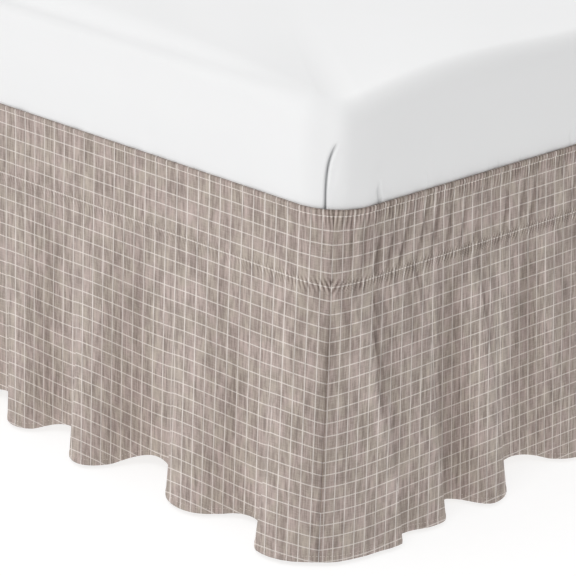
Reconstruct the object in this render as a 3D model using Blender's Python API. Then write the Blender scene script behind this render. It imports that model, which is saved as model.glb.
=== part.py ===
"""A gathered, wrap-around bed skirt on the plain mattress and bed base that it fits.

Metres, +Z up. The bed's middle is the origin and the floor is z = 0.
The foot of the bed faces -Y, the head faces +Y, and the left side is -X.

The skirt is four panels of cloth, seamed in the middle of each rounded corner.
An elastic header hugs the mattress, a second elastic row sits below it, and the
cloth falls from there in flutes that widen down to the hem.
"""
import math
import random
from collections import namedtuple

import bmesh
import bpy
import numpy as np
from mathutils import Vector

# ---- Driving dimensions -------------------------------------------------------

BED_WIDTH = 1.524
BED_LENGTH = 2.032
CORNER_RADIUS = 0.060

SKIRT_TOP = 0.463
SKIRT_DROP = 0.457
ELASTIC_DROP = 0.096        # from the top edge to the second elastic row
CLOTH_THICKNESS = 0.0015
CLOTH_CLEARANCE = 0.0025    # between the mattress and the back of the cloth
SEAM_GAP = 0.0003           # between two panels at their seam
YOKE_PUFF = 0.003           # how far the cloth stands out between the elastic rows
VALLEY_LIFT = 0.010         # how far the hem rises in a valley of the usual depth
VALLEY_DEPTH = 0.045        # the usual depth of a valley at the hem
FLARE_POWER = 0.9           # how the flutes open on their way down
FOLD_ROUNDNESS = 0.35       # 0 is a plain wave, more has broader crests and steeper walls

MATTRESS_BOTTOM = 0.400
MATTRESS_EDGE = 0.613       # height of the top edge
MATTRESS_CROWN = 0.012      # rise of the middle over the top edge
MATTRESS_BULGE = 0.007      # how far the side swells above the skirt
EDGE_ROUND = 0.022

BASE_BOTTOM = 0.280
BASE_INSET = 0.016
BASE_BEVEL = 0.006
PART_GAP = 0.0003           # between pieces that touch

LEG_TOP_RADIUS = 0.026
LEG_FOOT_RADIUS = 0.020
LEG_REACH_X = 0.660         # middle of the outer legs
LEG_REACH_Y = 0.905

# ---- Resolution ---------------------------------------------------------------

STEPS_PER_FOLD = 6          # columns from a crest to the next valley
LEVELS_BELOW_ELASTIC = 4
CORNER_STEPS = 8
LEG_SIDES = 16

# ---- Folds --------------------------------------------------------------------
# A row for each crest and valley, counted from the seam in the corner:
# its place along the second elastic row, its place along the hem, and how far
# the hem stands out from the mattress there (less than 0 is a valley).

Fold = namedtuple("Fold", "at_elastic at_hem out")

FOOT_FOLDS = (
    Fold(0.000, 0.000, 0.046),
    Fold(0.016, 0.033, 0.042),
    Fold(0.050, 0.090, 0.048),
    Fold(0.080, 0.110, 0.027),
    Fold(0.125, 0.179, 0.040),
    Fold(0.190, 0.238, -0.005),
    Fold(0.240, 0.285, 0.046),
    Fold(0.330, 0.406, -0.030),
    Fold(0.430, 0.503, 0.024),
    Fold(0.520, 0.590, -0.030),
    Fold(0.600, 0.672, 0.040),
)

LEFT_FOLDS = (
    Fold(0.000, 0.000, 0.046),
    Fold(0.020, 0.030, 0.052),
    Fold(0.105, 0.116, -0.016),
    Fold(0.190, 0.203, 0.032),
    Fold(0.310, 0.328, -0.048),
    Fold(0.400, 0.402, 0.034),
    Fold(0.485, 0.488, -0.035),
    Fold(0.550, 0.555, 0.012),
    Fold(0.635, 0.638, -0.048),
    Fold(0.720, 0.724, 0.035),
    Fold(0.800, 0.805, -0.030),
)

CORNER_FOLDS = (
    Fold(0.000, 0.000, 0.046),
    Fold(0.020, 0.032, 0.050),
)

# The rest of each panel repeats such folds, as unevenly as cloth hangs.
FOLD_PITCH = (0.072, 0.104)     # least and most from a crest to the next valley
CREST_OUT = (0.030, 0.046)
VALLEY_OUT = (-0.044, -0.022)

Panel = namedtuple("Panel", "name corner along outward length folds seed")

LEFT_FRONT = (-BED_WIDTH / 2, -BED_LENGTH / 2)
RIGHT_FRONT = (BED_WIDTH / 2, -BED_LENGTH / 2)
LEFT_BACK = (-BED_WIDTH / 2, BED_LENGTH / 2)

PANELS = (
    Panel("skirt_foot", LEFT_FRONT, (1, 0), (0, -1), BED_WIDTH, FOOT_FOLDS, 11),
    Panel("skirt_side_left", LEFT_FRONT, (0, 1), (-1, 0), BED_LENGTH, LEFT_FOLDS, 22),
    Panel("skirt_side_right", RIGHT_FRONT, (0, 1), (1, 0), BED_LENGTH, CORNER_FOLDS, 33),
    Panel("skirt_head", LEFT_BACK, (1, 0), (0, 1), BED_WIDTH, CORNER_FOLDS, 44),
)


# ---- Helpers ------------------------------------------------------------------

def clear_scene():
    """Remove every object, so that the script can run again in the same file."""
    for item in list(bpy.data.objects):
        bpy.data.objects.remove(item, do_unlink=True)


def make_material(name, colour, roughness, metallic=0.0):
    """A plain Principled material."""
    material = bpy.data.materials.new(name)
    material.use_nodes = True
    shader = material.node_tree.nodes["Principled BSDF"]
    shader.inputs["Base Color"].default_value = (*colour, 1.0)
    shader.inputs["Roughness"].default_value = roughness
    shader.inputs["Metallic"].default_value = metallic
    return material


def add_object(name, mesh_builder, material, parent):
    """Turn a bmesh into a named object under the bed's empty."""
    bmesh.ops.recalc_face_normals(mesh_builder, faces=mesh_builder.faces)
    mesh = bpy.data.meshes.new(name)
    mesh_builder.to_mesh(mesh)
    mesh_builder.free()
    item = bpy.data.objects.new(name, mesh)
    item.data.materials.append(material)
    item.parent = parent
    bpy.context.collection.objects.link(item)
    return item


def skin_rings(builder, rings):
    """Join rings of the same number of points with quads."""
    count = len(rings[0])
    for lower, upper in zip(rings, rings[1:]):
        for step in range(count):
            after = (step + 1) % count
            builder.faces.new((lower[step], lower[after], upper[after], upper[step]))


def skin_cloth(builder, loops):
    """Join loops of outer and then inner points, cut into triangles.

    Both faces of the cloth are cut along like diagonals, so they stay apart where it twists.
    """
    count = len(loops[0])
    for lower, upper in zip(loops, loops[1:]):
        for step in range(count):
            after = (step + 1) % count
            ring = [lower[step], lower[after], upper[after], upper[step]]
            if step >= count // 2:
                ring = ring[1:] + ring[:1]
            builder.faces.new((ring[0], ring[1], ring[2]))
            builder.faces.new((ring[0], ring[2], ring[3]))


# ---- The skirt ----------------------------------------------------------------

def ease(share):
    """A soft step from 0 to 1."""
    return share * share * (3 - 2 * share)


def path_length(side):
    """Length of one panel's path, from the middle of a corner to the next."""
    return side - 2 * CORNER_RADIUS + CORNER_RADIUS * math.pi / 2


def complete_folds(panel):
    """Add the folds up to the far corner, which ends as the near one starts."""
    length = path_length(panel.length)
    far_corner = [Fold(length - fold.at_elastic, length - fold.at_hem, fold.out)
                  for fold in reversed(CORNER_FOLDS)]
    folds = list(panel.folds)
    last, target = folds[-1], far_corner[0]
    room = target.at_hem - last.at_hem
    count = round(room / (sum(FOLD_PITCH) / 2))
    starts_on_crest = last.out > 0
    if starts_on_crest == (count % 2 == 1):
        count += 1      # the last of them has to be a valley
    draw = random.Random(panel.seed)
    widths = [draw.uniform(*FOLD_PITCH) for _ in range(count)]
    is_crest = not starts_on_crest
    passed = 0.0
    for width in widths[:-1]:
        passed += width
        share = passed / sum(widths)
        at_elastic = last.at_elastic + (target.at_elastic - last.at_elastic) * share
        out = draw.uniform(*(CREST_OUT if is_crest else VALLEY_OUT))
        folds.append(Fold(at_elastic, last.at_hem + room * share, out))
        is_crest = not is_crest
    return folds + far_corner


def fold_columns(folds, length):
    """Places of the columns along the elastic and the hem, and how far out each hangs."""
    columns = []
    for near, far in zip(folds, folds[1:]):
        for step in range(STEPS_PER_FOLD):
            share = step / STEPS_PER_FOLD
            # along the bed, a crest or valley takes more room than the wall between
            rounded = share + FOLD_ROUNDNESS * math.sin(2 * math.pi * share) / (2 * math.pi)
            columns.append((
                near.at_elastic + (far.at_elastic - near.at_elastic) * share,
                near.at_hem + (far.at_hem - near.at_hem) * rounded,
                near.out + (far.out - near.out) * ease(share),
            ))
    columns.append((folds[-1].at_elastic, folds[-1].at_hem, folds[-1].out))
    at_elastic, at_hem, out = (np.array(values) for values in zip(*columns))
    half_gap = SEAM_GAP / 2
    at_elastic = np.clip(at_elastic, half_gap, length - half_gap)
    at_hem = np.clip(at_hem, half_gap, length - half_gap)
    return at_elastic, at_hem, out


def follow_path(distance, length):
    """Point and outward direction on the mattress outline, in the panel's own axes."""
    half_corner = CORNER_RADIUS * math.pi / 4
    near = np.clip((half_corner - distance) / CORNER_RADIUS, 0, None)
    far = np.clip((distance - length + half_corner) / CORNER_RADIUS, 0, None)
    straight = np.clip(distance, half_corner, length - half_corner) - half_corner
    along = CORNER_RADIUS + straight + CORNER_RADIUS * (np.sin(far) - np.sin(near))
    inward = CORNER_RADIUS * (2 - np.cos(near) - np.cos(far))
    angle = far - near
    points = np.stack([along, -inward], axis=-1)
    facing = np.stack([np.sin(angle), np.cos(angle)], axis=-1)
    return points, facing


def cloth_levels():
    """Heights of the rows of points, from the top edge down to the hem."""
    elastic = SKIRT_TOP - ELASTIC_DROP
    hem = SKIRT_TOP - SKIRT_DROP
    falling = [elastic + (hem - elastic) * step / LEVELS_BELOW_ELASTIC
               for step in range(1, LEVELS_BELOW_ELASTIC + 1)]
    return [SKIRT_TOP, (SKIRT_TOP + elastic) / 2, elastic] + falling


def cloth_row(height, columns, length):
    """One row of the cloth's outer face: plan points, cloth normals and heights."""
    at_elastic, at_hem, out = columns
    elastic = SKIRT_TOP - ELASTIC_DROP
    hem = SKIRT_TOP - SKIRT_DROP
    fall = max(0.0, (elastic - height) / (elastic - hem))
    opened = fall ** FLARE_POWER
    yoke = math.sin(math.pi * max(0.0, height - elastic) / ELASTIC_DROP)
    distance = at_elastic + (at_hem - at_elastic) * opened
    points, facing = follow_path(distance, length)
    stand_off = CLOTH_CLEARANCE + CLOTH_THICKNESS + YOKE_PUFF * yoke + out * opened
    plan = points + facing * stand_off[:, None]
    slope = np.gradient(plan, axis=0)
    normal = np.stack([-slope[:, 1], slope[:, 0]], axis=-1)
    normal /= np.linalg.norm(normal, axis=1, keepdims=True)
    normal[0], normal[-1] = facing[0], facing[-1]
    rise = VALLEY_LIFT * np.clip(-out, 0, None) / VALLEY_DEPTH * fall ** 2
    return plan, normal, height + rise


def build_panel(panel, material, parent):
    """One panel: an outer face, an inner face and the four edges between them."""
    length = path_length(panel.length)
    columns = fold_columns(complete_folds(panel), length)
    corner = np.array(panel.corner)
    axes = np.array([panel.along, panel.outward], dtype=float)
    builder = bmesh.new()
    loops = []
    for height in cloth_levels():
        plan, normal, heights = cloth_row(height, columns, length)
        outer = corner + plan @ axes
        inner = corner + (plan - normal * CLOTH_THICKNESS) @ axes
        front = [builder.verts.new((*point, z)) for point, z in zip(outer, heights)]
        back = [builder.verts.new((*point, z)) for point, z in zip(inner, heights)]
        loops.append(front + back[::-1])
    skin_cloth(builder, loops)
    count = len(loops[0]) // 2
    for loop in (loops[0], loops[-1]):
        for step in range(count - 1):
            builder.faces.new((loop[step], loop[step + 1], loop[-2 - step], loop[-1 - step]))
    item = add_object(panel.name, builder, material, parent)
    item.data.shade_smooth()
    item.data.set_sharp_from_angle(angle=math.radians(50))
    return item


# ---- The mattress, base and legs ----------------------------------------------

def rounded_outline(grow):
    """Plan points of the bed's rounded rectangle, grown outward on every side."""
    radius = CORNER_RADIUS + grow
    middle_x = BED_WIDTH / 2 - CORNER_RADIUS
    middle_y = BED_LENGTH / 2 - CORNER_RADIUS
    corners = ((1, 1), (-1, 1), (-1, -1), (1, -1))
    points = []
    for turn, (sign_x, sign_y) in enumerate(corners):
        for step in range(CORNER_STEPS + 1):
            angle = math.pi / 2 * (turn + step / CORNER_STEPS)
            points.append((sign_x * middle_x + radius * math.cos(angle),
                           sign_y * middle_y + radius * math.sin(angle)))
    return points


def mattress_profile():
    """Pairs of height and growth up the side, from the bottom to the crown."""
    side_top = MATTRESS_EDGE - EDGE_ROUND
    profile = [
        (MATTRESS_BOTTOM + PART_GAP, -0.014),
        (MATTRESS_BOTTOM + 0.004, -0.006),
        (MATTRESS_BOTTOM + 0.012, 0.0),
        (SKIRT_TOP + 0.004, 0.0),
        (SKIRT_TOP + 0.024, 0.7 * MATTRESS_BULGE),
        (SKIRT_TOP + 0.060, MATTRESS_BULGE),
        (side_top, MATTRESS_BULGE - 0.002),
    ]
    for step in range(1, 5):
        angle = math.pi / 2 * step / 4
        profile.append((side_top + EDGE_ROUND * math.sin(angle),
                        MATTRESS_BULGE - 0.002 - EDGE_ROUND * (1 - math.cos(angle))))
    return profile


def build_mattress(material, parent):
    """A filled solid with a rounded top edge and a low crown."""
    builder = bmesh.new()
    rings = []
    for height, grow in mattress_profile():
        rings.append([builder.verts.new((x, y, height)) for x, y in rounded_outline(grow)])
    rim = rounded_outline(MATTRESS_BULGE - 0.002 - EDGE_ROUND)
    for share in (0.93, 0.80, 0.55, 0.28):
        height = MATTRESS_EDGE + MATTRESS_CROWN * (1 - share ** 2)
        rings.append([builder.verts.new((x * share, y * share, height)) for x, y in rim])
    skin_rings(builder, rings)
    builder.faces.new(rings[0])
    builder.faces.new(rings[-1])
    item = add_object("mattress", builder, material, parent)
    item.data.shade_smooth()
    return item


def build_base(material, parent):
    """A plain slab, inset so that the folds of the skirt hang clear of it."""
    builder = bmesh.new()
    bmesh.ops.create_cube(builder, size=1.0)
    size = Vector((BED_WIDTH - 2 * BASE_INSET, BED_LENGTH - 2 * BASE_INSET,
                   MATTRESS_BOTTOM - BASE_BOTTOM))
    bmesh.ops.scale(builder, vec=size, verts=builder.verts)
    upright = [edge for edge in builder.edges
               if abs(edge.verts[0].co.z - edge.verts[1].co.z) > PART_GAP]
    bmesh.ops.bevel(builder, geom=upright, offset=CORNER_RADIUS - BASE_INSET,
                    segments=CORNER_STEPS, profile=0.5, affect="EDGES")
    item = add_object("bed_base", builder, material, parent)
    item.location.z = (MATTRESS_BOTTOM + BASE_BOTTOM) / 2
    bevel = item.modifiers.new("soft edges", "BEVEL")
    bevel.width = BASE_BEVEL
    bevel.segments = 2
    bevel.limit_method = "ANGLE"
    bevel.angle_limit = math.radians(60)
    return item


def build_leg(name, place, material, parent):
    """A turned leg, wider at the top, flat under its foot."""
    height = BASE_BOTTOM - PART_GAP
    builder = bmesh.new()
    bmesh.ops.create_cone(builder, cap_ends=True, segments=LEG_SIDES,
                          radius1=LEG_FOOT_RADIUS, radius2=LEG_TOP_RADIUS, depth=height)
    item = add_object(name, builder, material, parent)
    item.location = (*place, height / 2)
    item.data.shade_smooth()
    item.data.set_sharp_from_angle(angle=math.radians(50))
    return item


def build_legs(material, parent):
    """Nine legs, in three rows of three."""
    rows = (("foot", -LEG_REACH_Y), ("middle", 0.0), ("head", LEG_REACH_Y))
    files = (("left", -LEG_REACH_X), ("centre", 0.0), ("right", LEG_REACH_X))
    for row_name, y in rows:
        for file_name, x in files:
            build_leg(f"leg_{row_name}_{file_name}", (x, y), material, parent)


def main():
    clear_scene()
    bed = bpy.data.objects.new("bed", None)
    bpy.context.collection.objects.link(bed)

    check_cloth = make_material("check cloth", (0.46, 0.39, 0.345), 0.9)
    white_cotton = make_material("white cotton", (0.86, 0.86, 0.86), 0.85)
    painted_board = make_material("pale board", (0.55, 0.47, 0.38), 0.6)
    beech = make_material("beech", (0.52, 0.36, 0.22), 0.5)

    for panel in PANELS:
        build_panel(panel, check_cloth, bed)
    build_mattress(white_cotton, bed)
    build_base(painted_board, bed)
    build_legs(beech, bed)


main()
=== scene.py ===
# %% [markdown]
# # Dressing a gathered bed skirt
#
# The construction model gives each piece of this bed its size and its place. It is
# plain on purpose. This lesson makes what the eye sees on top of it: gathered
# linen with a window-pane check, a white fitted sheet, pale wood and soft light.
#
# A skirt like this hugs the mattress with an elastic header. A second elastic row
# sits a hand's width lower, and the cloth falls from there in flutes.

import math
import random
from collections import namedtuple

import bpy
import numpy as np
from mathutils import Matrix, Vector


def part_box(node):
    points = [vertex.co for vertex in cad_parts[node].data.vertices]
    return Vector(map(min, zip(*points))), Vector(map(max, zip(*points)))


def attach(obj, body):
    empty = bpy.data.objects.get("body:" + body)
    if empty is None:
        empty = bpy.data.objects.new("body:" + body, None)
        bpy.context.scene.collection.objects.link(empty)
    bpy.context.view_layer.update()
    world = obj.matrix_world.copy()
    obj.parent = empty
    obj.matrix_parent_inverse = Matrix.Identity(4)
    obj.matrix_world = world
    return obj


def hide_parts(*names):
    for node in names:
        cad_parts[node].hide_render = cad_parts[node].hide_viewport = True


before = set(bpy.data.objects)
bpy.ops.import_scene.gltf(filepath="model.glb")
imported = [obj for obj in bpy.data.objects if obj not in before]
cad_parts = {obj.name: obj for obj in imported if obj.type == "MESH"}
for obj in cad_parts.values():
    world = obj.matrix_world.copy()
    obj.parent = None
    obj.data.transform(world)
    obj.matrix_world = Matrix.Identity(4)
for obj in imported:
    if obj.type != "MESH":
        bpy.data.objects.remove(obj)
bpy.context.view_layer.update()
print("nodes in the frame:", ", ".join(sorted(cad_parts)))

# %% [markdown]
# ## Writing shaders as arithmetic
#
# A shader is a graph of nodes, and wiring one by hand hides its meaning. Wrapping
# an output socket in a small class lets Python's own operators add the Math nodes,
# so that `1 - mask * 0.3` reads like what it does. Everything that isn't plain
# arithmetic goes through one method that names the node's type, settings and inputs.

# %% A socket that can be calculated with
class Wire:
    """An output socket in a node tree."""

    def __init__(self, nodes, socket):
        self.nodes = nodes
        self.socket = socket

    def math(self, operation, first, second=0.0):
        settings = {"operation": operation}
        return self.nodes.node("ShaderNodeMath", settings, {0: first, 1: second})

    def __add__(self, other):
        return self.math("ADD", self, other)

    __radd__ = __add__

    def __sub__(self, other):
        return self.math("SUBTRACT", self, other)

    def __rsub__(self, other):
        return self.math("SUBTRACT", other, self)

    def __mul__(self, other):
        return self.math("MULTIPLY", self, other)

    __rmul__ = __mul__

    def __truediv__(self, other):
        return self.math("DIVIDE", self, other)

    def __mod__(self, other):
        return self.math("FLOORED_MODULO", self, other)

    def __abs__(self):
        return self.math("ABSOLUTE", self)

    def sine(self):
        return self.math("SINE", self)

    def larger(self, other):
        return self.math("MAXIMUM", self, other)


# %% A node tree being written
class Nodes:
    """A node tree, of a material or of the world."""

    def __init__(self, tree):
        self.tree = tree

    def feed(self, socket, value):
        if isinstance(value, Wire):
            self.tree.links.new(value.socket, socket)
        else:
            socket.default_value = value

    def node(self, kind, settings, inputs, output=0):
        node = self.tree.nodes.new(kind)
        for name, value in settings.items():
            setattr(node, name, value)
        for key, value in inputs.items():
            self.feed(node.inputs[key], value)
        return Wire(self, node.outputs[output])

    def mix(self, factor, first, second, blend="MIX"):
        settings = {"data_type": "RGBA", "blend_type": blend}
        return self.node("ShaderNodeMix", settings, {0: factor, 6: first, 7: second}, output=2)

    def noise(self, place, detail=2.0):
        inputs = {"Vector": place, "Scale": 1.0, "Detail": detail}
        return self.node("ShaderNodeTexNoise", {}, inputs)

    def vector(self, x, y, z=0.0):
        return self.node("ShaderNodeCombineXYZ", {}, {0: x, 1: y, 2: z})

    def parts(self, place):
        """The three numbers in a vector."""
        return [self.node("ShaderNodeSeparateXYZ", {}, {0: place}, output=axis)
                for axis in range(3)]

    def stored(self, name):
        """A number that the mesh stores at each point."""
        return self.node("ShaderNodeAttribute", {"attribute_name": name}, {}, output=2)

    def fall_off(self, value, start, end):
        """1 up to start, 0 from end on, soft between."""
        settings = {"interpolation_type": "SMOOTHSTEP"}
        inputs = {"Value": value, "From Min": start, "From Max": end,
                  "To Min": 1.0, "To Max": 0.0}
        return self.node("ShaderNodeMapRange", settings, inputs)


class Finish(Nodes):
    """A material being written, with its Principled shader."""

    def __init__(self, name, roughness, sheen=0.0):
        self.material = bpy.data.materials.new(name)
        self.material.use_nodes = True
        super().__init__(self.material.node_tree)
        self.shader = self.tree.nodes["Principled BSDF"]
        self.shader.inputs["Roughness"].default_value = roughness
        self.shader.inputs["Sheen Weight"].default_value = sheen
        self.shader.inputs["Specular IOR Level"].default_value = 0.3

    def object_place(self):
        """The place of a point on its object, in metres, as three numbers."""
        return self.parts(self.node("ShaderNodeTexCoord", {}, {}, output=3))

    def finish_with(self, colour, height, depth, roughness=None):
        self.feed(self.shader.inputs["Base Color"], colour)
        relief = {"Strength": 1.0, "Distance": depth, "Height": height}
        self.feed(self.shader.inputs["Normal"], self.node("ShaderNodeBump", {}, relief))
        if roughness is not None:
            self.feed(self.shader.inputs["Roughness"], roughness)
        print(f"finish {self.material.name}: {len(self.tree.nodes)} nodes")
        return self.material


# %% [markdown]
# ## The check cloth
#
# The real cloth is a taupe slub weave: its upright yarns vary in thickness, so fine
# streaks run down it. A cream yarn every 20 mm across and 18 mm down draws the panes.
# The pattern lives in the cloth's own coordinates, in metres, which the panels below
# carry as a UV map: u runs along the cloth and v runs down it. They also store a
# painted shade for each point: darker in puckers, creases, seams and the top edge, and
# painted light on ridges, in the valleys of the flutes and near the hem.

# %% Colours and sizes of the check
PANE_WIDTH = 0.0196
PANE_HEIGHT = 0.0178
FIRST_ROW = 0.0078          # from the top edge to the first cream row
UPRIGHT_YARN = 0.0017       # width of a cream line that runs down
CROSS_YARN = 0.0014         # and of one that runs across
LINE_SOFTNESS = 0.0004
UPRIGHT_WAVER = 0.0007      # a woven line is never quite straight
CROSS_WAVER = 0.0005
# How strongly the painted shade darkens the cloth.
PAINTED_SHADE_STRENGTH = 0.85
# The painted shade where there is no crease; a lower value paints light.
PLAIN_PAINTED_SHADE = 0.30          # what the panels store where there is no crease
MM = 1000.0                 # noise is easier to size in millimetres
THREAD_PITCH = 1.1          # mm

TAUPE = (0.665, 0.567, 0.510, 1.0)
TAUPE_DARK = (0.325, 0.268, 0.237, 1.0)
TAUPE_GREEN = (0.630, 0.562, 0.470, 1.0)
TAUPE_PINK = (0.685, 0.545, 0.522, 1.0)
# The colour that the painted shade darkens the check towards.
SHADE = (0.27, 0.23, 0.21, 1.0)
CREAM = (1.000, 0.935, 0.885, 1.0)

Slub = namedtuple("Slub", "wide tall seed detail share")

SLUBS = (       # sizes in mm, and each one's share of the streaks
    Slub(2.4, 24, 3.0, 2.0, 0.38),
    Slub(6.0, 46, 8.0, 1.0, 0.27),
    Slub(17, 80, 12.0, 1.0, 0.16),
    Slub(11, 1.9, 27.0, 1.0, 0.11),     # of the yarns that run across
    Slub(1.2, 1.6, 21.0, 1.0, 0.08),    # of single threads
)


def distance_to_line(position, pitch):
    """How far a position is from the nearest of the lines at half pitches."""
    return abs(position % pitch - pitch / 2)


# %% Check cloth
def check_cloth():
    cloth = Finish("check cloth", roughness=0.92, sheen=0.1)
    u, v, _ = cloth.parts(cloth.node("ShaderNodeUVMap", {"uv_map": "cloth"}, {}))

    def spots(wide, tall, seed=0.0, detail=2.0):
        return cloth.noise(cloth.vector(u * MM / wide, v * MM / tall, seed), detail)

    def line(place, pitch, yarn):
        away = distance_to_line(place, pitch)
        return cloth.fall_off(away, yarn / 2 - LINE_SOFTNESS, yarn / 2 + LINE_SOFTNESS)

    waver = spots(11, 11) - 0.5
    upright = line(u + waver * UPRIGHT_WAVER, PANE_WIDTH, UPRIGHT_YARN)
    to_first_row = PANE_HEIGHT / 2 - FIRST_ROW
    cross = line(v + waver * CROSS_WAVER + to_first_row, PANE_HEIGHT, CROSS_YARN)
    worn = spots(14, 40, seed=4.0)
    pane = (upright * (0.55 + worn * 0.8)).larger(cross * 0.9)

    first, *others = [spots(slub.wide, slub.tall, slub.seed, slub.detail) * slub.share
                      for slub in SLUBS]
    streak = 1 - cloth.fall_off(sum(others, first), 0.37, 0.65)
    tint = spots(26, 38, seed=15.0)
    hue = cloth.mix(cloth.fall_off(tint, 0.38, 0.62), TAUPE_PINK, TAUPE_GREEN)
    ground = cloth.mix(streak, cloth.mix(0.5, TAUPE, hue), TAUPE_DARK)
    yarn = cloth.mix(streak * 0.35, CREAM, ground)
    colour = cloth.mix(pane, ground, yarn)
    # Painted shade: the stored value darkens the colour in puckers, creases and seams, and
    # paints light where it is under the plain level.
    shaded = cloth.stored("in_crease") * PAINTED_SHADE_STRENGTH
    colour = cloth.mix(shaded, colour, SHADE, blend="MULTIPLY")

    turns = MM * 2 * math.pi / THREAD_PITCH
    weave = (u * turns).sine() * (v * turns).sine()
    height = weave * 0.12 - streak * 0.6 + pane * 0.3
    return cloth.finish_with(colour, height, depth=0.0006)


CHECK_CLOTH = check_cloth()

# %% [markdown]
# ## The white sheet, the board and the beech
#
# White cotton is never quite one white. A little noise in its tone and a fine weave
# in its relief keep a large plain face from looking like plastic. The bed base is a
# board with a straight grain, and the legs are oiled beech with its short dark
# flecks. Both hide behind the skirt, but a viewer can look under the bed.

# %% White cotton
COTTON = (0.855, 0.857, 0.860, 1.0)
COTTON_DULL = (0.825, 0.828, 0.833, 1.0)
COTTON_SHADE = (0.16, 0.17, 0.18, 1.0)
COTTON_THREAD = 1.4         # mm


def white_cotton():
    cotton = Finish("white cotton", roughness=0.88, sheen=0.1)
    places = cotton.object_place()
    cloud = cotton.noise(cotton.vector(*[place * 9 for place in places]), detail=3.0)
    threads = [place * MM / COTTON_THREAD for place in places]
    thread = cotton.noise(cotton.vector(*threads), detail=1.0)
    colour = cotton.mix(cloud * 0.5, COTTON, COTTON_DULL)
    # Painted shade: the stored value darkens the sheet along its creases and its groove.
    shaded = cotton.stored("in_crease") * 0.9
    colour = cotton.mix(shaded, colour, COTTON_SHADE, blend="MULTIPLY")
    return cotton.finish_with(colour, thread * 0.3 + cloud, depth=0.0004)


WHITE_COTTON = white_cotton()


# %% Pale board and beech
def grained_wood(name, light, dark, along, roughness):
    """Wood whose grain runs along one axis, given as how much each axis is stretched."""
    wood = Finish(name, roughness=roughness)
    x, y, z = [place * stretch for place, stretch in zip(wood.object_place(), along)]
    grain = wood.noise(wood.vector(x, y, z), detail=5.0)
    flecks = wood.noise(wood.vector(x * 5, y * 5, z * 3), detail=1.0)
    fleck = wood.fall_off(flecks, 0.30, 0.42)
    colour = wood.mix(wood.fall_off(grain, 0.35, 0.7), dark, light)
    colour = wood.mix(fleck * 0.5, colour, dark)
    return wood.finish_with(colour, grain - fleck * 0.4, depth=0.0005,
                            roughness=roughness - 0.1 + grain * 0.2)


PALE_BOARD = grained_wood("pale board", (0.60, 0.51, 0.41, 1.0), (0.47, 0.38, 0.29, 1.0),
                          along=(60, 3, 60), roughness=0.6)
BEECH = grained_wood("beech", (0.56, 0.38, 0.23, 1.0), (0.40, 0.24, 0.13, 1.0),
                     along=(90, 90, 7), roughness=0.45)

for name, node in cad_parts.items():
    if name.startswith("leg_") or name == "bed_base":
        node.data.materials.clear()
        node.data.materials.append(BEECH if name.startswith("leg_") else PALE_BOARD)

# %% [markdown]
# ## The camera
#
# The picture is taken from above the near corner through a long lens, which keeps
# the lines of the bed nearly parallel.

# %% Camera
CAMERA_PLACE = (-3.167, -3.150, 1.536)
CAMERA_AZIMUTH = math.radians(-47.46)
CAMERA_ELEVATION = math.radians(20.00)
CAMERA_ROLL = math.radians(2.65)
FOCAL_PIXELS = 2770
PHOTO_WIDTH = 576           # pixels
SENSOR = 36.0               # mm


def place_camera():
    """Aim a long lens, level but for a small roll."""
    back = Vector((math.sin(CAMERA_AZIMUTH) * math.cos(CAMERA_ELEVATION),
                   -math.cos(CAMERA_AZIMUTH) * math.cos(CAMERA_ELEVATION),
                   math.sin(CAMERA_ELEVATION)))
    right = (-back).cross(Vector((0, 0, 1))).normalized()
    up = right.cross(-back)
    turned_right = right * math.cos(CAMERA_ROLL) + up * math.sin(CAMERA_ROLL)
    turned_up = up * math.cos(CAMERA_ROLL) - right * math.sin(CAMERA_ROLL)
    camera = bpy.data.objects.new("camera", bpy.data.cameras.new("camera"))
    camera.data.sensor_width = SENSOR
    camera.data.lens = FOCAL_PIXELS / PHOTO_WIDTH * SENSOR
    camera.data.clip_end = 100
    turn = Matrix((turned_right, turned_up, back)).transposed().to_4x4()
    camera.matrix_world = Matrix.Translation(CAMERA_PLACE) @ turn
    bpy.context.scene.collection.objects.link(camera)
    bpy.context.scene.camera = camera
    return camera


camera = place_camera()
print(f"lens {camera.data.lens:.1f} mm")

# %% [markdown]
# ## The sizes of the skirt
#
# The heights come from the frame. The folds repeat the rows that the construction
# was made from: where each crest and valley sits along the second elastic row, where
# it has wandered to at the hem, and how far out it hangs there.

# %% Sizes
skirt_low, skirt_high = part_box("skirt_foot")
SKIRT_TOP = skirt_high.z
SKIRT_DROP = skirt_high.z - skirt_low.z
BED_WIDTH = 1.524
BED_LENGTH = 2.032
CORNER_RADIUS = 0.060
ELASTIC_DROP = 0.096        # from the top edge to the second elastic row
STAND_OFF = 0.0040          # from the mattress to the face of the cloth
YOKE_PUFF = 0.003           # how far the cloth swells out between the two rows
VALLEY_DEPTH = 0.045        # of the deepest valleys
VALLEY_LIFT = 0.010         # the hem hangs this much higher in them
FLARE_POWER = 0.9           # under 1, a flute opens soonest near the elastic
FOLD_ROUNDNESS = 0.35
SEAM_GAP = 0.0001
LEFT, RIGHT = -BED_WIDTH / 2, BED_WIDTH / 2
FRONT, BACK = -BED_LENGTH / 2, BED_LENGTH / 2
print(f"the skirt hangs {SKIRT_DROP * MM:.0f} mm down from {SKIRT_TOP * MM:.0f} mm")

# %% Folds
Fold = namedtuple("Fold", "at_elastic at_hem out")


def folds_of(*rows):
    """Folds from rows in millimetres."""
    return [Fold(*(value / MM for value in row)) for row in rows]


FOOT_FOLDS = folds_of(
    (0, 0, 46),
    (16, 33, 42),
    (50, 90, 48),
    (80, 110, 27),
    (125, 179, 40),
    (190, 238, -5),
    (240, 285, 46),
    (330, 406, -30),
    (430, 503, 24),
    (520, 590, -30),
    (600, 672, 40),
)

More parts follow.
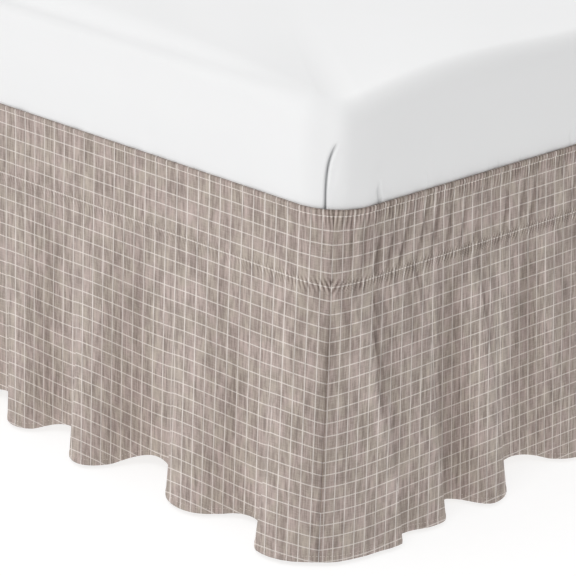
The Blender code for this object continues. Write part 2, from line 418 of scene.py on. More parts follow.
LEFT_FOLDS = folds_of(
    (0, 0, 46),
    (20, 30, 52),
    (105, 116, -16),
    (190, 203, 32),
    (310, 328, -48),
    (400, 402, 34),
    (485, 488, -35),
    (550, 555, 12),
    (635, 638, -48),
    (720, 724, 35),
    (800, 805, -30),
)

CORNER_FOLDS = folds_of(
    (0, 0, 46),
    (20, 32, 50),
)

# What the photograph doesn't show goes on with folds drawn from these spans.
FOLD_PITCH = (0.072, 0.104)
CREST_OUT = (0.030, 0.046)
VALLEY_OUT = (-0.044, -0.022)


def complete_folds(folds, length, seed):
    """Add the folds up to the far corner, which ends as the near one starts."""
    far_corner = [Fold(length - fold.at_elastic, length - fold.at_hem, fold.out)
                  for fold in reversed(CORNER_FOLDS)]
    folds = list(folds)
    last, target = folds[-1], far_corner[0]
    room = target.at_hem - last.at_hem
    count = round(room / (sum(FOLD_PITCH) / 2))
    starts_on_crest = last.out > 0
    if starts_on_crest == (count % 2 == 1):
        count += 1      # the last of them has to be a valley
    draw = random.Random(seed)
    widths = [draw.uniform(*FOLD_PITCH) for _ in range(count)]
    is_crest = not starts_on_crest
    passed = 0.0
    for width in widths[:-1]:
        passed += width
        share = passed / sum(widths)
        at_elastic = last.at_elastic + (target.at_elastic - last.at_elastic) * share
        out = draw.uniform(*(CREST_OUT if is_crest else VALLEY_OUT))
        folds.append(Fold(at_elastic, last.at_hem + room * share, out))
        is_crest = not is_crest
    return folds + far_corner


# %% [markdown]
# ## Small gathers
#
# Elastic draws cloth into puckers about 6 mm wide, with rounded backs and sharp
# grooves. They are strongest on the elastic and die away within two fingers of it.
# Between the two rows the cloth of the foot panel is also dragged into a few
# slanting creases, and below the second row narrow gathers run into the flutes.
# The puckers come from a formula. The creases that show most are a short table.

# %% Waves that never quite repeat
PUCKER_PITCH = 0.0056
PUCKER_DRIFT = 0.28         # how far they stray from an even pitch, in puckers


def wander(place, wavelength, seed, loop=None, waves=5):
    """Smooth noise along a line, about -1 to 1, which meets itself after a loop."""
    draw = random.Random(seed)
    total = np.zeros_like(place)
    for _ in range(waves):
        wave = wavelength * draw.uniform(0.6, 1.7)
        if loop:
            wave = loop / max(1, round(loop / wave))
        total += np.sin(2 * math.pi * (place / wave + draw.random()))
    return total / math.sqrt(waves * 1.6)


def bell(value, middle, width):
    """1 in the middle, falling off softly to both sides."""
    return np.exp(-((value - middle) / width) ** 2)


def ease(share):
    """From 0 to 1 with a soft start and a soft end."""
    return share * share * (3 - 2 * share)


def ramp(value, start, length):
    """0 up to the start, then softly up to 1 over a length."""
    return ease(np.clip((value - start) / length, 0, 1))


def puckers(place, seed):
    """A height from 0 to about 1 with round backs, and the depth in a groove."""
    phase = place / PUCKER_PITCH + PUCKER_DRIFT * wander(place, 0.05, seed)
    size = np.clip(0.92 + 0.25 * wander(place, 0.025, seed + 1), 0.3, 1.2)
    back = np.abs(np.sin(math.pi * phase))
    return back * size, np.clip(1.3 * (1 - back) ** 0.7 * size, 0, 1)


# %% Creases
Crease = namedtuple("Crease", "at_top at_bottom top bottom peak depth width dark")


def creases_of(*rows):
    """Creases from rows in millimetres, but for peak and the painted shade, which are shares.
    """
    shares = ("peak", "dark")
    return [Crease(*(value if column in shares else value / MM
                     for column, value in zip(Crease._fields, row))) for row in rows]


FOOT_CREASES = creases_of(
    # between the two elastic rows; under zero, depth makes a ridge and the painted shade paints
    # light
    (3.5, 5, 8, 94, 0.5, 2.5, 3.5, 0.55),
    (12.5, 11, 10, 94, 0.5, 1.5, 2.5, 0.3),
    (17, 15.5, 20, 90, 0.6, -2, 3, -0.2),
    (21.5, 21, 10, 94, 0.5, 2.5, 3.5, 0.5),
    (27, 29.5, 8, 92, 0.4, -2.5, 3, -0.22),
    (40.5, 39, 8, 94, 0.6, 2.5, 4.5, 0.55),
    (54.5, 50, 15, 80, 0.4, 1.2, 3, 0.25),
    (70, 62, 20, 96, 0.7, 3.5, 4.5, 0.65),
    (81, 78, 20, 94, 0.6, -2.5, 3, -0.2),
    (95, 85, 20, 96, 0.7, 3, 3.5, 0.6),
    (124, 107, 20, 96, 0.7, 3, 3.5, 0.6),
    (134, 126, 35, 90, 0.6, -2, 3.5, -0.18),
    (157, 140, 12, 96, 0.6, 2.5, 4, 0.5),
    (180, 169, 12, 90, 0.5, 2, 3.5, 0.4),
    (206, 198, 10, 94, 0.6, 2.5, 4, 0.5),
    (235, 228, 20, 94, 0.6, 2, 3.5, 0.4),
    (262, 257, 45, 96, 0.7, 2.5, 4, 0.38),
    (293, 286, 10, 90, 0.5, 2, 4, 0.4),
    (322, 315, 10, 94, 0.6, 2, 4, 0.4),
    (354, 346, 20, 94, 0.6, 2, 4, 0.4),
    (380, 373, 15, 96, 0.7, 2.5, 4, 0.5),
    # below the second row, where they open into the flutes
    (5, 17, 98, 230, 0.3, -3, 4, -0.15),
    (15, 22, 97, 210, 0.3, 3.5, 4, 0.4),
    (22.5, 50, 98, 457, 0.3, -7, 7.5, -0.3),
    (60, 45.5, 96, 300, 0.3, 4.5, 2.6, 0.46),
    (69, 60, 98, 360, 0.3, 3, 14, 0.18),
    (90, 96, 100, 190, 0.3, -2, 6, -0.1),
    (121, 123, 98, 250, 0.3, 3.5, 6, 0.32),
    (140, 148, 98, 200, 0.2, 3, 4, 0.35),
    (158, 169, 100, 290, 0.4, -4, 8, -0.18),
    (195.5, 185, 97, 440, 0.3, 2.5, 3.5, 0.2),
    (208, 196, 98, 400, 0.2, 3.5, 12, 0.17),
    (244, 226, 100, 430, 0.4, -4, 14, -0.2),
    (257, 271, 97, 280, 0.4, 3, 3, 0.4),
    (280, 285, 98, 180, 0.3, 2.5, 5, 0.3),
    (308, 300, 100, 420, 0.4, -4, 14, -0.22),
    (372, 334, 98, 420, 0.3, 4, 10, 0.28),
    (362, 338, 98, 300, 0.3, 2.5, 3.5, 0.25),
    (390, 388, 100, 340, 0.4, -4, 8, -0.2),
    (433, 418, 98, 380, 0.3, 4, 8, 0.28),
)

SIDE_CREASES = creases_of(
    (14, 12, 8, 94, 0.5, 1, 4, 0.15),
    (50, 51, 15, 80, 0.5, 0.6, 4, 0.18),
    (26, 28, 98, 220, 0.2, 2, 6, 0.1),
    (163, 162, 110, 330, 0.3, 1, 16, 0.1),
    (326, 344, 110, 320, 0.3, 1, 20, 0.1),
    (480, 500, 110, 320, 0.3, 1, 20, 0.1),
)

END_CREASES = creases_of(
    (14, 12, 8, 94, 0.5, 2.5, 4, 0.5),
    (40, 34, 20, 96, 0.7, 3, 4, 0.5),
    (52, 56, 98, 280, 0.3, 5, 6, 0.5),
)


# Beyond the photograph like creases go on. A pair is a span to draw from.
CreaseKind = namedtuple("CreaseKind", "slant top bottom peak depth width dark stride room")

CREASE_KINDS = (
    CreaseKind((-0.014, 0.004), (0.008, 0.030), 0.096, (0.4, 0.8), (0.0015, 0.003),
               (0.0032, 0.005), (0.3, 0.6), (0.018, 0.034), room=0.02),
    CreaseKind((-0.016, 0.010), 0.098, (0.180, 0.430), 0.3, (0.003, 0.005),
               (0.004, 0.012), (0.2, 0.4), (0.040, 0.085), room=0.03),
)
CREASE_START = 0.03         # from the last crease of the table


def complete_creases(creases, length, strength, seed):
    """Go on with like creases to the far corner."""
    draw = random.Random(seed)
    start = max(crease.at_top for crease in creases) + CREASE_START
    creases = list(creases)
    for kind in CREASE_KINDS:
        place = start
        while place < length - kind.room:
            slant, top, bottom, peak, depth, width, dark, stride = [
                draw.uniform(*span) if isinstance(span, tuple) else span
                for span in kind[:-1]]
            creases.append(Crease(place, place + slant, top, bottom, peak,
                                  strength * depth, width, strength * dark))
            place += stride
    return creases


CREASE_END_POWER = 0.8      # under 1, a crease starts and ends a little abruptly


def crease_strength(crease, drop):
    """0 at both ends of a crease, 1 at its peak."""
    share = (drop - crease.top) / (crease.bottom - crease.top)
    if not 0 < share < 1:
        return 0.0
    if share < crease.peak:
        return math.sin(math.pi / 2 * share / crease.peak) ** CREASE_END_POWER
    past = (share - crease.peak) / (1 - crease.peak)
    return math.cos(math.pi / 2 * past) ** CREASE_END_POWER


# %% [markdown]
# ## One panel of cloth
#
# A panel is a grid. Each column starts at its place on the elastic, slides along the
# bed on its way to the hem and stands off by its share of a fold. Around the elastics
# the columns are 1.25 mm apart, so the puckers are real shape. Lower down only every
# fourth column goes on, because the flutes are broad and don't need more.

# %% The path round the mattress
def path_length(side):
    """From the middle of a rounded corner to the middle of the next."""
    return side - 2 * CORNER_RADIUS + CORNER_RADIUS * math.pi / 2


def follow_path(distance, length):
    """Point and outward direction on the mattress outline, in the panel's own axes."""
    half_corner = CORNER_RADIUS * math.pi / 4
    near = np.clip((half_corner - distance) / CORNER_RADIUS, 0, None)
    far = np.clip((distance - length + half_corner) / CORNER_RADIUS, 0, None)
    straight = np.clip(distance, half_corner, length - half_corner) - half_corner
    along = CORNER_RADIUS + straight + CORNER_RADIUS * (np.sin(far) - np.sin(near))
    inward = CORNER_RADIUS * (2 - np.cos(near) - np.cos(far))
    angle = far - near
    points = np.stack([along, -inward], axis=-1)
    facing = np.stack([np.sin(angle), np.cos(angle)], axis=-1)
    return points, facing


# %% Columns and rows
COARSE = 4                  # fine columns to a coarse one
SEAM_ZONE = 0.008
SEAM_STEP = 0.0005
PUCKER_STEP = 0.00125


def column_places(length):
    """Places along the elastic, closer together beside the seams."""
    beside_seam = np.arange(0, SEAM_ZONE - SEAM_STEP / 2, SEAM_STEP)
    count = COARSE * round((length - 2 * SEAM_ZONE) / PUCKER_STEP / COARSE)
    middle = np.linspace(SEAM_ZONE, length - SEAM_ZONE, count + 1)
    places = np.concatenate([beside_seam, middle, length - beside_seam[::-1]])
    return np.clip(places, SEAM_GAP / 2, length - SEAM_GAP / 2)


def row_drops():
    """Distances of the rows from the top edge: the fine ones, then the coarse ones."""
    fine = np.concatenate([
        np.linspace(0.000, 0.0085, 7, endpoint=False),
        np.linspace(0.0085, 0.030, 7, endpoint=False),
        np.linspace(0.030, 0.086, 5, endpoint=False),
        np.linspace(0.086, 0.116, 11, endpoint=False),
        np.linspace(0.116, 0.128, 3),
    ])
    coarse = np.concatenate([
        np.linspace(0.140, SKIRT_DROP - 0.012, 25),
        SKIRT_DROP - np.array([0.0085, 0.0070, 0.0035, 0.0]),
    ])
    return fine, coarse


# %% Reliefs of the cloth
CLOTH_BACK = 0.0016         # from the face of the cloth to its back
BASE_TOP_ZONE = 0.190       # down to here the bed base stands close behind the cloth
LEAST_STAND = -0.012
DEEPEST_GROOVE = -0.0011    # short of the back of the cloth
VALLEY_PAINTED_LIGHT = 0.12           # painted light: less painted shade in the valleys of the flutes
HEM_PAINTED_LIGHT = 0.045           # and more painted light near the hem
HEM_DEPTH = 0.0078          # from the hem's edge to its stitches

GATHER_LENGTH = 0.05        # the elastic draws hardest this close to a corner
HEADER_PUCKER = 0.0021
HEADER_START = 0.010
HEADER_REACH = 0.027        # how far the puckers run below the header
HEADER_SLANT = 0.10
SECOND_PUCKER = 0.0017
SECOND_START = 0.100
SECOND_REACH = 0.014        # and below the second row
SECOND_RISE = 0.008         # and above it
SECOND_SLANT = 0.45
SECOND_SHADE = 1.6
MEAN_GROOVE = (0.41, 0.43)  # taken off the painted shade, so that puckers paint as much light as shade
STITCH_GROOVE = 0.0005
SEAM_FADE_START = 0.22      # down from the top edge, where the seam's groove softens
SEAM_FADE = 0.15
SEAM_REACH = 0.010          # no creases this close to a corner seam

CREASE_WIDENING = 2.0       # for each metre below the second row
BANK_HEIGHT = 0.4           # of a crease's depth: the cloth it pushes up beside it
BANK_PLACE = 1.7            # in widths of the crease
BANK_WIDTH = 1.3
PAINTED_DARK_WIDTH = 0.85

FLUTE_END = 0.75            # share of the fall where the ripples on the flutes end
YOKE_END = 0.104            # and those between the rows, down from the top edge
# A ripple's shade is painted: darker on one side of its wave and lighter on the other.
Ripple = namedtuple("Ripple", "height shade wavelength waves slant")

RIPPLES = (
    Ripple(0.0022, 0.00, 0.0320, 5, 0.00),      # on the flutes
    Ripple(0.0009, 0.00, 0.0120, 5, 0.00),      # finer, below the second row
    Ripple(0.0005, 0.10, 0.0125, 7, 0.10),      # between the two rows
    Ripple(0.0006, 0.09, 0.0170, 7, 0.00),      # where the gathers open
)

Band = namedtuple("Band", "drop width push shade")

BANDS = (
    Band(0.0035, 0.0030, 0.0008, 0.0),                      # the turned top edge
    Band(0.0000, 0.0014, 0.0000, 0.30),                     # painted shade along the top edge
    Band(SKIRT_DROP - 0.0035, 0.0040, 0.0005, 0.0),         # the turned hem
    Band(SKIRT_DROP - HEM_DEPTH, 0.0012, -0.0004, 0.0),     # its stitched groove
)


def run_along(points):
    """How far each point of a line is along it."""
    steps = np.linalg.norm(np.diff(points, axis=0), axis=1)
    return np.concatenate([[0.0], np.cumsum(steps)])


# %% The panel's form
# A row of points: the plan is seen from above, and the level plan has no creases yet.
Row = namedtuple("Row", "face back plan level heights arc plain in_crease")


class Panel:
    """The form of one panel, asked for a row of points at a time."""

    def __init__(self, name, corner, along, outward, side, folds, creases, gather, seed):
        self.name = name
        self.corner = np.array(corner)
        self.axes = np.array([along, outward], dtype=float)
        self.length = path_length(side)
        self.folds = complete_folds(folds, self.length, seed)
        self.creases = complete_creases(creases, self.length, gather, seed + 1)
        self.gather = gather
        self.seed = seed
        self.mirrored = along[0] * outward[1] - along[1] * outward[0] > 0

    def read_folds(self, places):
        """Where each column is at the hem, and how far out it hangs there."""
        stops, hem, out = (np.array(values) for values in zip(*self.folds))
        index = np.clip(np.searchsorted(stops, places, side="right") - 1, 0, len(stops) - 2)
        share = (places - stops[index]) / (stops[index + 1] - stops[index])
        rounded = share + FOLD_ROUNDNESS * np.sin(2 * math.pi * share) / (2 * math.pi)
        at_hem = hem[index] + (hem[index + 1] - hem[index]) * rounded
        return at_hem, out[index] + (out[index + 1] - out[index]) * ease(share)

    def from_seam(self, places):
        return np.minimum(places, self.length - places)

    def gathering(self, places):
        """How hard the elastic draws: less along the sides than round the corners."""
        return self.gather + (1 - self.gather) * np.exp(-self.from_seam(places) / GATHER_LENGTH)

    def creases_at(self, places, drop):
        """The creases: a push outward, and a painted shade along each crease."""
        push = np.zeros_like(places)
        in_crease = np.zeros_like(places)
        widening = 1 + CREASE_WIDENING * max(0.0, drop - ELASTIC_DROP)
        for crease in self.creases:
            strength = crease_strength(crease, drop)
            if strength == 0.0:
                continue
            share = (drop - crease.top) / (crease.bottom - crease.top)
            line = crease.at_top + (crease.at_bottom - crease.at_top) * share
            width = crease.width * widening
            push -= crease.depth * strength * bell(places, line, width)
            if crease.depth > 0:
                bank = bell(places, line + BANK_PLACE * width, BANK_WIDTH * width)
                push += BANK_HEIGHT * crease.depth * strength * bank
            in_crease += crease.dark * strength * bell(places, line, PAINTED_DARK_WIDTH * width)
        return push, in_crease

    def broad_relief(self, places, drop, fall):
        """Creases and ripples, which go through the cloth, with the shade painted along them.
        """
        push, in_crease = self.creases_at(places, drop)
        drawn = 0.45 + 0.55 * self.gathering(places)
        strengths = (       # of the ripples, in the order of their table
            drawn * math.sin(math.pi * min(fall / FLUTE_END, 1.0)) ** 0.8,
            min(fall * 3, 1.0) * (1 - fall),
            drawn * math.sin(math.pi * min(drop / YOKE_END, 1.0)) ** 0.5,
            drawn * min(fall * 6, 1.0) * max(0.0, 1 - fall * 1.3),
        )
        for number, (ripple, strength) in enumerate(zip(RIPPLES, strengths)):
            wave = strength * wander(places + ripple.slant * drop, ripple.wavelength,
                                     self.seed + 7 + number, waves=ripple.waves)
            push += ripple.height * wave
            in_crease -= ripple.shade * wave
        fade = 1 - np.exp(-self.from_seam(places) / SEAM_REACH)
        return push * fade, in_crease * fade

    def puckers_at(self, places, drop):
        """The gathers on the two elastic rows, the grooves that their stitches draw, and shade
        painted in the grooves and light on the backs.
        """
        drawn = self.gathering(places)
        reach = np.clip(0.85 + 0.25 * wander(places, 0.010, self.seed + 4), 0.4, 1.2)
        header = 1 - ramp(drop, HEADER_START, HEADER_REACH * reach)
        if drop < ELASTIC_DROP:
            second = max(0.0, 1 - (ELASTIC_DROP - drop) / SECOND_RISE)
        else:
            second = 1 - ramp(drop, SECOND_START, SECOND_REACH * reach)
        back, groove = puckers(places + HEADER_SLANT * drop, self.seed + 2)
        slanting = places + SECOND_SLANT * (drop - ELASTIC_DROP)
        slant_back, slant_groove = puckers(slanting, self.seed + 5)
        stitched = bell(drop, ELASTIC_DROP, 0.0016) + bell(drop, FIRST_ROW, 0.0012)
        push = HEADER_PUCKER * header * back + SECOND_PUCKER * second * slant_back
        in_crease = header * (groove - MEAN_GROOVE[0])
        in_crease = in_crease + SECOND_SHADE * second * (slant_groove - MEAN_GROOVE[1])
        return drawn * (push - STITCH_GROOVE * stitched), drawn * in_crease

    def seam_at(self, places, drop, fall):
        """The corner seam: a groove beside a bank, clearest below the second row, with shade
        painted along it.
        """
        from_seam = self.from_seam(places)
        below = min(fall * 5, 1.0) * (1 - 0.6 * ramp(drop, SEAM_FADE_START, SEAM_FADE))
        push = 0.0006 * below * bell(from_seam, 0.007, 0.0035)
        push -= (0.0003 + 0.0005 * below) * bell(from_seam, 0.0, 0.0025)
        in_crease = (0.05 + 0.26 * below) * bell(from_seam, 0.0, 0.0020)
        return push, in_crease + 0.07 * below * bell(from_seam, 0.0, 0.008)

    def fine_relief(self, places, drop, fall):
        """Puckers, seam, top edge and hem, which only the face of the cloth has, with their
        painted shade.
        """
        push, in_crease = self.puckers_at(places, drop)
        seam_push, seam_shade_paint = self.seam_at(places, drop, fall)
        push += seam_push
        in_crease += seam_shade_paint
        for band in BANDS:
            strength = bell(drop, band.drop, band.width)
            push += band.push * strength
            in_crease += band.shade * strength
        return np.maximum(push, DEEPEST_GROOVE), in_crease

    def in_world(self, plan, heights):
        return np.column_stack([self.corner + plan @ self.axes, heights])

    def row(self, places, drop, push=0.0):
        """One row of the panel, a height's worth of points."""
        at_hem, out = self.read_folds(places)
        fall = max(0.0, (drop - ELASTIC_DROP) / (SKIRT_DROP - ELASTIC_DROP))
        opened = fall ** FLARE_POWER
        in_yoke = min(drop / ELASTIC_DROP, 1.0)
        plain = YOKE_PUFF * math.sin(math.pi * in_yoke) + out * opened
        points, facing = follow_path(places + (at_hem - places) * opened, self.length)
        stand = STAND_OFF + plain
        broad, in_crease = self.broad_relief(places, drop, fall)
        broad = np.maximum(stand + broad, LEAST_STAND if drop < BASE_TOP_ZONE else -1) - stand
        level = points + facing * stand[:, None]
        slope = np.gradient(level, axis=0)
        step = np.linalg.norm(slope, axis=1, keepdims=True)
        normal = np.stack([-slope[:, 1], slope[:, 0]], axis=-1) / np.maximum(step, 1e-9)
        normal[0], normal[-1] = facing[0], facing[-1]
        plan = level + normal * broad[:, None]
        fine, pucker_shade_paint = self.fine_relief(places, drop, fall)
        valley = np.clip(-out, 0, None) / VALLEY_DEPTH
        heights = SKIRT_TOP - drop + VALLEY_LIFT * valley * fall ** 2
        # Painted shade from a plain level, with painted light in the valleys and near the hem.
        in_crease = PLAIN_PAINTED_SHADE + in_crease + pucker_shade_paint
        in_crease -= VALLEY_PAINTED_LIGHT * np.clip(valley, 0, 1) * fall
        in_crease -= HEM_PAINTED_LIGHT * ease(min(fall * 1.6, 1.0))
        face = self.in_world(plan + normal * (fine + push)[:, None], heights)
        back = self.in_world(plan - normal * CLOTH_BACK, heights)
        return Row(face, back, plan, level, heights, run_along(plan), plain,
                   np.clip(in_crease, 0, 1))

    def points_at(self, wanted, places, drop, push):
        """Points on the face at any places, read between the columns."""
        face = self.row(places, drop, push=push).face
        return np.column_stack([np.interp(wanted, places, face[:, axis]) for axis in range(3)])


# %% [markdown]
# ## The cloth's own coordinates
#
# The check has to sit on the cloth, so each point needs its place along the cloth and
# down it. In the photograph the check runs nearly straight over the folds, so on the
# foot and the left side each point takes the place of the point on a plain flat skirt
# that lies behind it in the same line of sight. Gain, slips and sags then fit that
# skirt to the photograph: its columns stand a little closer and lean as they run
# down, and its rows hang a little lower towards the hem.
#
# On the far wall of a flute, which that side doesn't show, this would smear the panes,
# so there the place grows with the length of the cloth instead. The two meet in a dart
# half-way up the far wall. Beyond the photograph the slant of the sight fades out, and
# the right side and the head are laid out straight.

# %% Lines of sight
# along and outward: where the eye is from the panel's corner. reach: how far along the
# panel it sees. gain: on places along the cloth. slips: lean of the columns.
Sight = namedtuple("Sight", "along outward reach gain slips")

FOOT_SIGHT = Sight(CAMERA_PLACE[0] - LEFT, FRONT - CAMERA_PLACE[1], reach=0.50,
                   gain=1.033, slips=(0.030, 0.080, 0.113))
LEFT_SIGHT = Sight(CAMERA_PLACE[1] - FRONT, LEFT - CAMERA_PLACE[0], reach=0.66,
                   gain=1.0, slips=(-0.0123,) * 3)
STRAIGHT_ON = Sight(0.0, 2.3, reach=-1.0, gain=1.0, slips=(0.0,) * 3)
SLIP_PLACES = (0.0, 0.2, 0.4)
SIGHT_HEIGHT = CAMERA_PLACE[2]
SIGHT_DISTANCE = (FOOT_SIGHT.outward + LEFT_SIGHT.outward) / 2
SIGHT_FADE = 0.25           # beyond its reach, the slant of the sight fades out over this
FAR_WALL_DROP = 0.015       # a fold that falls back by more than this has a far wall
PLAIN_END = 0.05            # no dart this close to the far corner
LEAST_GROWTH = 0.5          # of the pattern for each length of cloth
FOLDED_GROWTH = 0.3         # how much of a lack of growth is made up
# Round a corner the rows run level at 0, and straight on in the picture at 1.
ROW_LEAN_DROPS = (0.000, 0.025, 0.060, 0.096, 0.132, 0.210, 0.250, 0.350, 0.457)
ROW_LEANS = (0.00, 0.23, 0.40, 0.49, 0.56, 0.72, 0.72, 0.55, 0.35)
SAG_DROPS = (0.100, 0.150, 0.200, 0.250, 0.300, 0.350, 0.457)
SAGS = (0.0, 0.0010, 0.0022, 0.0040, 0.0060, 0.0075, 0.0100)


def dart_columns(panel, places):
    """Columns where one flute's pattern gives way to the next, and its anchors."""
    def middle_column(index):
        middle = (panel.folds[index].at_elastic + panel.folds[index + 1].at_elastic) / 2
        return COARSE * round(int(np.searchsorted(places, middle)) / COARSE)

    darts = [0]
    anchors = [0]
    for index in range(1, len(panel.folds) - 1):
        fold, after = panel.folds[index], panel.folds[index + 1]
        falls_back = fold.out - after.out > FAR_WALL_DROP
        if falls_back and after.at_elastic < panel.length - PLAIN_END:
            darts.append(middle_column(index))
            anchors.append(middle_column(index + 1))
    darts.append(len(places) - 1)
    return darts, anchors


def seen_places(plan, drop, sight):
    """Where the line of sight through each point meets a plain flat skirt."""
    along, outward = plan.T
    slant = 1 - ramp(along, sight.reach, SIGHT_FADE)
    aside = (along - sight.along) * (outward - STAND_OFF) / (sight.outward - outward)
    slip = drop * np.interp(along, SLIP_PLACES, sight.slips)
    return (along + slant * aside) * sight.gain - slant * slip


def cloth_places(row, drop, darts, anchors, phase, sight):
    """Place along the cloth, as a column's left and right flute say, and down it."""
    smooth = seen_places(row.level, drop, sight)
    arc = run_along(row.level)
    growth = np.gradient(smooth, arc)
    lack = LEAST_GROWTH - growth
    kept = np.where(lack < 0, growth, LEAST_GROWTH + FOLDED_GROWTH * lack)
    run = np.concatenate([[0.0], np.cumsum((kept[1:] + kept[:-1]) / 2 * np.diff(arc))])
    seen = seen_places(row.plan, drop, sight)
    run += seen - smooth
    left, right = np.zeros(len(seen)), np.zeros(len(seen))
    for low, high, anchor in zip(darts, darts[1:], anchors):
        measured = seen[anchor] + run - run[anchor] - phase + PANE_WIDTH / 2
        left[low + 1:high + 1] = measured[low + 1:high + 1]
        right[low:high] = measured[low:high]
    left[0], right[-1] = right[0], left[-1]
    squared = np.interp(drop, ROW_LEAN_DROPS, ROW_LEANS)
    depth = row.level[:, 1] - STAND_OFF
    leaning = row.plain + squared * (depth - row.plain) + row.plan[:, 1] - row.level[:, 1]
    down = SKIRT_TOP - row.heights + (SIGHT_HEIGHT - row.heights) * leaning / SIGHT_DISTANCE
    return left, right, down - np.interp(drop, SAG_DROPS, SAGS)


# %% [markdown]
# ## Sewing the grid
#
# The outer face goes down in fine and then coarse rows, and the back of the cloth
# comes up again a cloth's thickness behind it. Where a fine row meets a coarse one,
# five triangles fan out between them. The result is one closed skin.

# %% Rows into faces
def sew(upper, lower):
    """Faces between two rows of point numbers, of which one may be coarse."""
    if len(upper) == len(lower):
        return [(upper[i], lower[i], lower[i + 1], upper[i + 1]) for i in range(len(upper) - 1)]
    if len(upper) < len(lower):
        return [face[::-1] for face in sew(lower, upper)]
    faces = []
    for step in range(len(lower) - 1):
        left, right = lower[step], lower[step + 1]
        fine = upper[step * COARSE:step * COARSE + COARSE + 1]
        faces += [(left, fine[1], fine[0]), (left, fine[2], fine[1]), (left, right, fine[2]),
                  (right, fine[3], fine[2]), (right, fine[4], fine[3])]
    return faces


def panel_rows(panel, places, phase, sight):
    """Rows of the face and of the back: points, columns, cloth places and painted shade."""
    fine_drops, coarse_drops = row_drops()
    darts, anchors = dart_columns(panel, places)
    every = np.arange(len(places))
    some = every[::COARSE]
    face_rows, back_rows = [], []
    for drop in np.concatenate([fine_drops, coarse_drops]):
        row = panel.row(places, drop)
        left, right, down = cloth_places(row, drop, darts, anchors, phase, sight)
        table = np.column_stack([every, left, right, down, row.in_crease])
        chosen = every if drop <= fine_drops[-1] else some
        face_rows.append((row.face[chosen], table[chosen]))
        back_rows.append((row.back[some], table[some]))
    return face_rows, back_rows[::-1]


# %% Weaving a panel
def link_mesh(name, points, faces, material):
    """Make an object from points and faces."""
    mesh = bpy.data.meshes.new(name)
    mesh.from_pydata(np.asarray(points).tolist(), [], faces)
    mesh.shade_smooth()
    mesh.materials.append(material)
    item = bpy.data.objects.new(name, mesh)
    bpy.context.scene.collection.objects.link(item)
    return item


def store_painted_shade(mesh, values):
    """Store the painted shade of each point, for the finish to read."""
    layer = mesh.attributes.new("in_crease", "FLOAT", "POINT")
    layer.data.foreach_set("value", np.asarray(values, dtype=np.float32))


def map_cloth(mesh, column, left, right, down):
    """Write the cloth's coordinates: a corner reads the flute that its face belongs to."""
    corner_point = np.zeros(len(mesh.loops), np.int32)
    mesh.loops.foreach_get("vertex_index", corner_point)
    face_size = np.zeros(len(mesh.polygons), np.int32)
    mesh.polygons.foreach_get("loop_total", face_size)
    starts = np.concatenate([[0], np.cumsum(face_size)[:-1]])
    corner_column = column[corner_point]
    face_right = np.repeat(np.maximum.reduceat(corner_column, starts), face_size)
    along = np.where(corner_column < face_right, right[corner_point], left[corner_point])
    places = np.column_stack([along, down[corner_point]]).astype(np.float32)
    mesh.uv_layers.new(name="cloth").data.foreach_set("uv", places.ravel())


def weave_panel(panel, phase, sight):
    """Build the mesh of one panel, with its UV map in metres."""
    places = column_places(panel.length)
    face_rows, back_rows = panel_rows(panel, places, phase, sight)
    rows = face_rows + back_rows
    starts = np.cumsum([0] + [len(points) for points, _ in rows])
    numbers = [list(range(low, high)) for low, high in zip(starts, starts[1:])]
    faces = []
    for upper, lower in zip(numbers, numbers[1:] + numbers[:1]):
        faces += sew(upper, lower)
    for step in range(len(face_rows) - 1):
        face_top, face_low = numbers[step], numbers[step + 1]
        back_top, back_low = numbers[-1 - step], numbers[-2 - step]
        faces.append((face_top[0], back_top[0], back_low[0], face_low[0]))
        faces.append((face_low[-1], back_low[-1], back_top[-1], face_top[-1]))
    if panel.mirrored:
        faces = [face[::-1] for face in faces]
    points = np.concatenate([points for points, _ in rows])
    item = link_mesh(panel.name, points, faces, CHECK_CLOTH)
    column, left, right, down, in_crease = np.concatenate([table for _, table in rows]).T
    map_cloth(item.data, column, left, right, down)
    store_painted_shade(item.data, in_crease)
    return item


# %% The four panels
END_PHASE = 0.0115          # from the corner to the first cream line on the foot and head
SIDE_PHASE = -0.0030        # and on the two sides
SIDE_GATHER = 0.25          # the elastic draws the long sides less

PanelUse = namedtuple("PanelUse", "panel node phase sight")
uses = (
    PanelUse(Panel("foot_panel", (LEFT, FRONT), (1, 0), (0, -1), BED_WIDTH,
                   FOOT_FOLDS, FOOT_CREASES, gather=1.0, seed=11),
             "skirt_foot", END_PHASE, FOOT_SIGHT),
    PanelUse(Panel("left_panel", (LEFT, FRONT), (0, 1), (-1, 0), BED_LENGTH,
                   LEFT_FOLDS, SIDE_CREASES, SIDE_GATHER, seed=22),
             "skirt_side_left", SIDE_PHASE, LEFT_SIGHT),
    PanelUse(Panel("right_panel", (RIGHT, FRONT), (0, 1), (1, 0), BED_LENGTH,
                   CORNER_FOLDS, SIDE_CREASES, SIDE_GATHER, seed=33),
             "skirt_side_right", SIDE_PHASE, STRAIGHT_ON),
    PanelUse(Panel("head_panel", (LEFT, BACK), (1, 0), (0, 1), BED_WIDTH,
                   CORNER_FOLDS, END_CREASES, gather=1.0, seed=44),
             "skirt_head", END_PHASE, STRAIGHT_ON),
)
cloths = {}
for use in uses:
    cloth = weave_panel(use.panel, use.phase, use.sight)
    cloths[use.panel.name] = cloth
    print(f"{cloth.name}: {len(cloth.data.loops) - 2 * len(cloth.data.polygons)} triangles")

# %% [markdown]
# ## Stitches
#
# The elastic rows and the hem are machine sewn. A stitch is a short bit of thread
# with tapered ends, about 3 mm long. One joined mesh for each panel holds them all.

